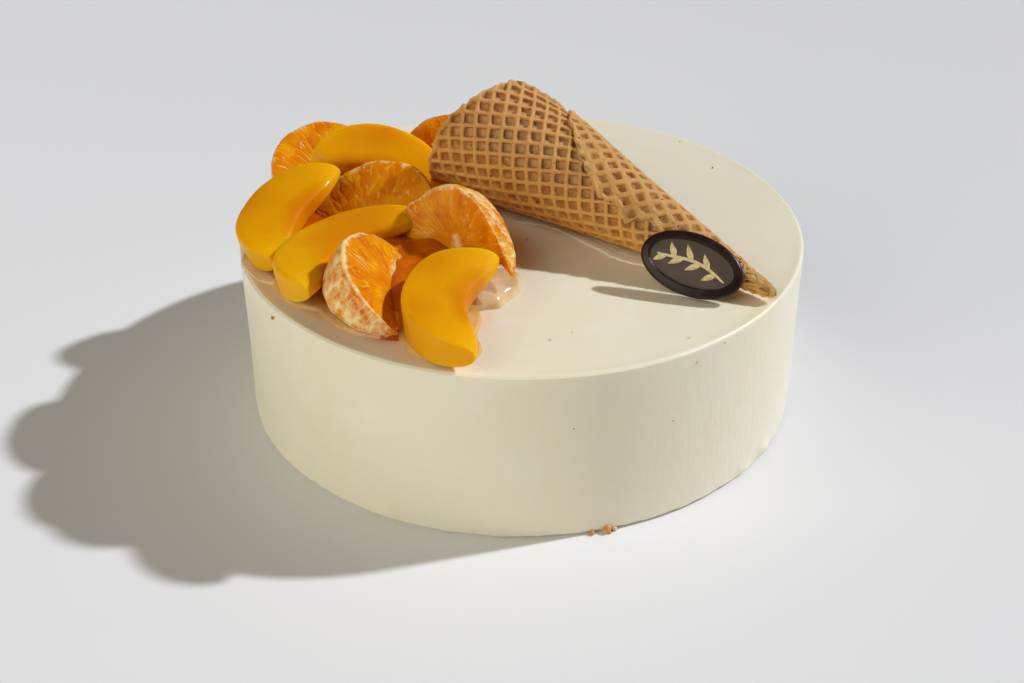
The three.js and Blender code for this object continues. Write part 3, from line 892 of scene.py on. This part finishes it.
def mandarin_points(seed, reach, length, thick, on_rim, on_back, curl=(0, 0), fan=-6, core=PLAIN_CORE):
    """Rings of a half-moon: at turn t from -90 to 90 degrees along it, the ring stands at half the
    length times sin t, its back and thickness fall as cos t to the powers 0.85 and 0.55, and its
    ends bend down by their curl times sin t squared. Grooves run between the sacs, and pith stands
    up along the rims. With them come the grooves, the sacs' tones and the pith."""
    back, across, rim = wedge_section(MANDARIN_CORNER, MANDARIN_EDGE_SHARE, MANDARIN_SIDES)
    turn = np.pi * (np.arange(1, MANDARIN_STATIONS) / MANDARIN_STATIONS - 0.5)[:, None]
    fall = np.cos(turn)
    back = back + 0 * turn
    rim = rim + 0 * turn
    inner = 4 * fall ** 2 - 2.5 * fall ** 0.4
    outer = reach * fall ** 0.85
    x = length / 2 * np.sin(turn)
    y = thick / 2 * fall ** 0.55 * across
    bend = curl[0] + (curl[1] - curl[0]) * (1 + np.sin(turn)) / 2
    z = inner + (outer - inner) * back - bend * np.sin(turn) ** 2
    points = together(x, y, z - reach / 2)
    out = np.hypot(x, z - fan)
    where = together(np.arctan2(x, z - fan) / SAC_TURN, out / SAC_LENGTH, y / SAC_THICK)
    where += 0.2 * together(*[waves(points, 6, seed + order) for order in range(3)])
    unit_size = together(np.maximum(out, 3) * SAC_TURN, SAC_LENGTH, SAC_THICK)
    gap, tone = sac_field(where, unit_size, seed + 4)
    groove = (1 - rise(gap, 0.05, THREAD_REACH)) * rise(out, 1.5, 5)

    strength, middle, half_width, lowest, highest = core
    patch = strength * bell(x, middle, half_width) * rise(z, lowest - 1, lowest + 1)
    patch *= 1 - rise(z, highest - 3, highest + 1)
    band = rim * on_rim * np.clip(0.55 + 0.6 * waves(points, 6, seed + 5), 0, 1)
    pith = np.maximum.reduce([patch, on_rim * rim, on_back * rise(back, 0.93, 1.0)])
    dents = 0.16 * waves(points, 16, seed + 6) - SAC_GROOVE * groove + PITH_RIDGE * band
    dents += SCALLOP * rise(back, 0.6, 1) * waves(points * [1, 0.4, 1], 8, seed + 7)
    away = together(0.4 * x / length, np.sign(y) * np.abs(across) ** 2, 0.9 * back - 0.2)
    away /= np.linalg.norm(away, axis=-1, keepdims=True)
    return points + away * dents[..., None], groove, tone, pith


def mandarin_material():
    """Mandarin flesh: clear orange sacs, each in its own shade, paler threads between them that come
    and go, pith where it is left, all under a wet coat."""
    material, shader = new_material(
        "mandarin_flesh", MANDARIN_ORANGE, 0.35, Subsurface_Weight=0.6, Subsurface_Scale=0.005,
        Subsurface_Radius=(1.0, 0.35, 0.02), Specular_IOR_Level=0.05, Coat_Weight=0.25,
        Coat_Roughness=0.04, Coat_IOR=1.38)
    here = place(shader)
    groove, pith = reading(shader, "groove"), reading(shader, "pith")
    color = blend(spread(reading(shader, "tone"), 0.0, 0.7), MANDARIN_DEEP, MANDARIN_ORANGE)
    color = blend(clouds(here, 8, 2, 0.45, 0.75), color, MANDARIN_LIGHT)
    broken = clouds(here, 3.2, 3, 0.42, 0.62)
    threads = times(spread(groove, 0.35, 0.95), spread(broken, 0, 1, 0.1, 0.7))
    color = blend(threads, color, THREAD_COLOR)
    strong = times(clouds(here, 7, 2, 0.5, 0.68), broken)
    color = blend(times(spread(groove, 0.6, 0.95), strong), color, THREAD_PALE)
    fibres = plus(times(groove, 0.3), plus(clouds(here, 4.2, 4, 0.25, 0.75, roughness=0.6), -0.5))
    ragged = plus(pith, fibres)
    cover = times(spread(ragged, 0.36, 0.62), spread(pith, 0.05, 0.2))
    color = blend(times(cover, 0.85), color, PITH_COLOR)
    normal = relief(cover, 0.15, relief(mottle(here, 2.2, 3), 0.22))
    set_sockets(shader, {
        "Base Color": blend(spread(ragged, 0.72, 1.1), color, PITH_WHITE),
        "Normal": normal,
        "Coat Normal": normal,
        "Roughness": spread(cover, 0, 1, 0.3, 0.5)})
    return material


mandarin_flesh = mandarin_material()
mandarin_skins = []
for order, (name, at, turn_deg, sizes) in enumerate(MANDARINS):
    rings, groove, tone, pith = mandarin_points(seed=51 + 10 * order, **sizes)
    points, faces = closed_skin(rings)
    mandarin_skins.append(laid(points, at, turn_deg))
    piece = new_piece(f"mandarin_segment_{name}", mandarin_skins[-1], faces, mandarin_flesh)
    keep_values(piece, "groove", groove, [0, 0])
    keep_values(piece, "tone", tone, [0.5, 0.5])
    keep_values(piece, "pith", pith, [0.3, 0.3])
    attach(piece, "root")
    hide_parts(f"mandarin_{name}")


# The jelly and the glaze: a dark orange jelly fills the gaps in the pile from below, its dark colour
# painted shade
# # for the shaded gaps between the fruit, and clear glaze brushed over the fruit has run down and set in
# pools at its feet.
JELLY_POOLS = {
    "low": dict(height=4.5, shore=14.0, outline=[
        [-93, -20], [-84, 8], [-84, 30], [-66, 44], [-44, 47], [-22, 44], [-12, 30], [-16, 8], [-10, -16],
        [-14, -38], [-24, -55], [-26, -76], [-40, -80], [-52, -74], [-62, -58], [-82, -42]]),
    "gap": dict(height=10.0, shore=16.0, outline=[
        [-62, -26], [-44, -12], [-26, -10], [-12, -16], [-12, -44], [-24, -66], [-40, -76], [-52, -66],
        [-58, -48]]),
}
JELLY_STEP = 1.0
# Jelly colours: a dark orange that is painted shade for the gaps in the pile, and a paler one in clouds.
JELLY_GAP_SHADE = (0.56, 0.10, 0.0003)
JELLY_GAP_SHADE_PALE = (0.62, 0.15, 0.0005)
# Name, how clear it is, colour, and sizes
GLAZE_POOLS = [
    ("front", 0.5, (1.0, 0.55, 0.13), dict(height=3.2, shore=4.5, outline=[
        [-43, -63], [-42, -72], [-39.5, -78.5], [-36, -84.5], [-31, -89.5], [-25, -92.5], [-19.5, -93.5],
        [-15, -91.5], [-13, -87], [-13.5, -80], [-14.5, -73], [-12, -64], [-17, -56], [-30, -56]])),
    ("foot", 0.6, (1.0, 0.55, 0.18), dict(height=2.4, shore=3.0, outline=[
        [-85, -41], [-81, -48.5], [-77.5, -54.5], [-72.5, -58.8], [-67, -60], [-63.5, -65], [-58, -71],
        [-52, -75.5], [-46, -78], [-40, -77.5], [-40, -66], [-55, -48], [-72, -36]])),
    ("left", 0.8, (1.0, 0.68, 0.34), dict(height=1.6, shore=2.5, outline=[
        [-97, -20], [-96, -29], [-92, -36.5], [-87.5, -41.8], [-81, -43], [-76, -36], [-80, -24]])),
    ("seam", 0.1, (0.95, 0.36, 0.02), dict(height=6.0, shore=7.0, outline=[
        [-46, -58], [-46, -70], [-43, -76.5], [-38, -78], [-34, -70], [-36, -58]])),
    ("drop", 0.68, (1.0, 0.70, 0.34), dict(height=4.6, shore=8.0, outline=[
        [-17, -59], [-12, -60.5], [-7, -57.5], [-2.5, -51], [0, -43.5], [-0.5, -37], [-5, -34], [-11, -36],
        [-16, -42], [-19, -52]])),
]
POOL_SINK = 1.0
POOL_STEP = 0.6


def pool(name, material, seed, height, shore, outline, step=POOL_STEP):
    """A closed sheet on the cake's top, with its foot sunk in the cream. At distance d inside its
    outline it stands height times sqrt(1 - (1 - share)^2), where share is d / shore, at most 1."""
    outline = rounded_outline(outline)
    low, high = outline.min(0) - 1, outline.max(0) + 1
    grid = np.stack(np.meshgrid(np.arange(low[0], high[0], step), np.arange(low[1], high[1], step)), -1)
    grid += 0.25 * step * together(waves(grid, 4, seed + 1), waves(grid, 4, seed + 2))

    def edge(points):
        """Distance inside the outline, made uneven by waves."""
        return inside_outline(points, outline) + 0.5 * waves(points, 9, seed + 3)

    flat, faces, rim = trimmed_grid(grid, edge)
    share = np.clip(edge(flat) / shore, 0, 1)
    up = height * np.sqrt(1 - (1 - share) ** 2) * (1 + 0.10 * waves(flat, 9, seed)) - 0.3
    top = together(*flat.T, CAKE_HEIGHT + up)
    foot = together(*flat.T, CAKE_HEIGHT - POOL_SINK)
    piece = new_piece(name, np.concatenate([top, foot]), sheet_faces(faces, rim, len(flat)), material)
    keep_values(piece, "share", [share, share])
    return piece


gap_shade_jelly, jelly_shader = new_material(
    "gap_shade_jelly", JELLY_GAP_SHADE, 0.25, Subsurface_Weight=0.5, Subsurface_Scale=0.006,
    Subsurface_Radius=(1.0, 0.3, 0.02), Specular_IOR_Level=0.15, Coat_Weight=0.3, Coat_Roughness=0.04)
jelly_place = place(jelly_shader)
# The jelly's dark orange is painted shade in the gaps between the fruit.
set_sockets(jelly_shader, {
    "Base Color": blend(clouds(jelly_place, 9, 2, 0.4, 0.7), JELLY_GAP_SHADE, JELLY_GAP_SHADE_PALE),
    "Normal": relief(mottle(jelly_place, 7, 2), 0.2)})
for order, (name, sizes) in enumerate(JELLY_POOLS.items()):
    jelly = pool(f"gap_shade_jelly_{name}", gap_shade_jelly, seed=171 + 4 * order, step=JELLY_STEP, **sizes)
    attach(jelly, "root")


def glaze_material(name, color, clearness):
    """Clear set glaze: tinted, see-through where it lies level, and denser and more coloured at its thin
    edge, which is painted glow of light held in the gel there.
    """
    material, shader = new_material(
        name, color, 0.15, Specular_IOR_Level=0.5, Coat_Weight=0.6, Coat_Roughness=0.1,
        Subsurface_Weight=0.3, Subsurface_Scale=0.003)
    here = place(shader)
    # Denser towards the edge: painted glow of light caught in the gel's edge.
    density_and_edge_glow = spread(reading(shader, "share"), 0.0, 0.3, 0.75, 1 - clearness)
    set_sockets(shader, {
        "Alpha": plus(density_and_edge_glow, clouds(here, 6, 2, 0.3, 0.7, -0.08, 0.08)),
        "Normal": relief(mottle(here, 4, 2), 0.2)})
    return material


for order, (name, clearness, color, sizes) in enumerate(GLAZE_POOLS):
    clear_glaze = glaze_material(f"glaze_{name}", color, clearness)
    glaze = pool(f"glaze_pool_{name}", clear_glaze, seed=181 + 5 * order, **sizes)
    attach(glaze, "root")


# Glaze beads: droplets of the clear glaze that the brush left on the mandarin segments. They stand
# where they set and catch the light.
BEAD_COUNT = 12
BEAD_SIZE = (0.35, 0.75)
BEAD_COLOR = (1.0, 0.86, 0.62)


def ball(middle, size, steps, sides, seed, uneven):
    """The closed skin of a ball at its place, whose radius is changed by waves."""
    tilt = np.linspace(0, np.pi, steps)[1:-1, None]
    turn = full_turn(sides)
    ways = together(np.sin(tilt) * np.cos(turn), np.sin(tilt) * np.sin(turn), np.cos(tilt))
    return closed_skin(ways[::-1] * (size * (1 + uneven * waves(ways, 1.1, seed)))[..., None] + middle)


bead_rng = np.random.default_rng(201)
bead_balls = []
for skin in mandarin_skins[:3]:
    chosen = bead_rng.choice(len(skin) - 2, BEAD_COUNT, replace=False)
    for middle, size in zip(skin[chosen], bead_rng.uniform(*BEAD_SIZE, BEAD_COUNT)):
        bead_balls.append(ball(middle, size, steps=9, sides=12, seed=202, uneven=0.1))
bead_glaze, bead_shader = new_material(
    "glaze_bead", BEAD_COLOR, 0.08, Specular_IOR_Level=0.6, Coat_Weight=0.6, Coat_Roughness=0.05)
set_sockets(bead_shader, {"Alpha": clouds(place(bead_shader), 0.8, 2, 0.3, 0.7, 0.15, 0.35)})
beads = new_piece("glaze_beads", *joined(bead_balls), bead_glaze)
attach(beads, "root")


# The cream smear: cream that the cone pushed aside as it was set down, a low ridge with a crisp
# front edge and faint ripples behind it.
SMEAR_FRONT = np.array([
    [-6, 5], [-0.6, 1.7], [8.3, -1.4], [13.6, -5.2], [20.4, -12.7], [27.1, -20.1], [33.6, -26.5],
    [43, -31.5], [50, -33]])
SMEAR_HEIGHT = 0.55
SMEAR_REACH = 9.0
SMEAR_SINK = 2.0
RIPPLE_HEIGHT = 0.05
RIPPLE_LENGTH = 2.4
SMEAR_STEPS = (220, 46)


def smear_points():
    """Rows of points along the front, each going back from it under the cone. The ridge rises as a
    smooth step, falls off at the ends, and carries cosine ripples that follow the front."""
    length = np.append(0, np.linalg.norm(np.diff(SMEAR_FRONT, axis=0), axis=1).cumsum())
    along = np.linspace(0, length[-1], SMEAR_STEPS[0])
    front = together(*[np.interp(along, length, axis) for axis in SMEAR_FRONT.T])
    front += 0.5 * together(waves(front, 12, 91), waves(front, 5, 92))
    width = np.linspace(0, 1, SMEAR_STEPS[1]) * SMEAR_REACH
    back = np.array([-math.sin(CONE_HEADING), math.cos(CONE_HEADING)])
    flat = front[:, None] - width[:, None] * back
    ends = (rise(along, 0, 9) * (1 - rise(along, length[-1] - 9, length[-1])))[:, None]
    phase = 2 * np.pi * width / RIPPLE_LENGTH + 1.5 * waves(flat, 18, 93)
    ripple = RIPPLE_HEIGHT * np.cos(phase) * rise(width, 0.8, 2.5)
    ridge = rise(width, 0, 0.9) * SMEAR_HEIGHT * (0.75 + 0.25 * waves(flat, 10, 94))
    up = (ridge + ripple) * ends - 0.6 * (1 - ends)
    up -= 0.7 * (1 - rise(width, 0, 0.4)) + 0.8 * rise(width, SMEAR_REACH - 2.5, SMEAR_REACH)
    return np.concatenate([flat, CAKE_HEIGHT - 0.35 + up[..., None]], -1)


smear_top = smear_points()
smear_foot = smear_top.copy()
smear_foot[..., 2] = CAKE_HEIGHT - SMEAR_SINK
smear_rings = np.concatenate([smear_top, smear_foot[:, ::-1]], 1)
smear = new_piece("cream_smear", *closed_skin(smear_rings), cream)
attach(smear, "root")


# Crumbs: bits of baked wafer and sponge that fell on the moist cream and stuck, and a few specks
# where air bubbles broke the coat's skin.
CRUMB_SINK = 0.4
# On the side: turn round the cake in degrees, height, size and tone from dark 0 to pale 1
SIDE_CRUMBS = [
    (-144.7, 58.2, 0.5, 0.45), (-80.9, 42.7, 0.22, 0.3), (-61.5, 38.2, 0.22, 0.3), (-74.1, 0.9, 1.5, 0.6),
    (-77, 0.7, 0.9, 0.45), (-72.5, 0.7, 0.7, 0.8), (-50.4, 60.6, 0.2, 0.2), (-57, 57.5, 0.25, 0.3),
    (118, 20, 0.4, 0.3), (64, 44, 0.3, 0.3)]
# On the top: x, y, size and tone
TOP_CRUMBS = [
    (73.9, 47.8, 0.3, 0.2), (63.5, 71.8, 0.22, 0.2), (8.8, -77.4, 0.4, 1.0), (15.9, -73.1, 0.3, 1.0),
    (1.8, -11.3, 0.5, 0.9), (52.6, -76.7, 0.5, 0.9), (30, 66, 0.25, 0.3)]
CRUMB_TONES = ((0.22, 0.16, 0.06), (0.60, 0.27, 0.07), (0.86, 0.76, 0.58))

spots = [
    (CAKE_RADIUS * math.cos(math.radians(turn)), CAKE_RADIUS * math.sin(math.radians(turn)), *rest)
    for turn, *rest in SIDE_CRUMBS]
spots += [(x, y, CAKE_HEIGHT - CRUMB_SINK, *rest) for x, y, *rest in TOP_CRUMBS]
crumb_balls = [
    ball(spot[:3], spot[3], steps=12, sides=16, seed=101 + order, uneven=0.35)
    for order, spot in enumerate(spots)]
crumb_material, crumb_shader = new_material("crumb", CRUMB_TONES[1], 0.7, Specular_IOR_Level=0.25)
crumb_tone = reading(crumb_shader, "tone")
crumb_color = blend(spread(crumb_tone, 0, 0.5), CRUMB_TONES[0], CRUMB_TONES[1])
set_sockets(crumb_shader, {
    "Base Color": blend(spread(crumb_tone, 0.5, 1), crumb_color, CRUMB_TONES[2]),
    "Normal": relief(mottle(place(crumb_shader), 0.4, 3), 0.15)})
crumbs = new_piece("crumbs", *joined(crumb_balls), crumb_material)
keep_values(crumbs, "tone", np.repeat([spot[4] for spot in spots], len(crumb_balls[0][0])))
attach(crumbs, "root")
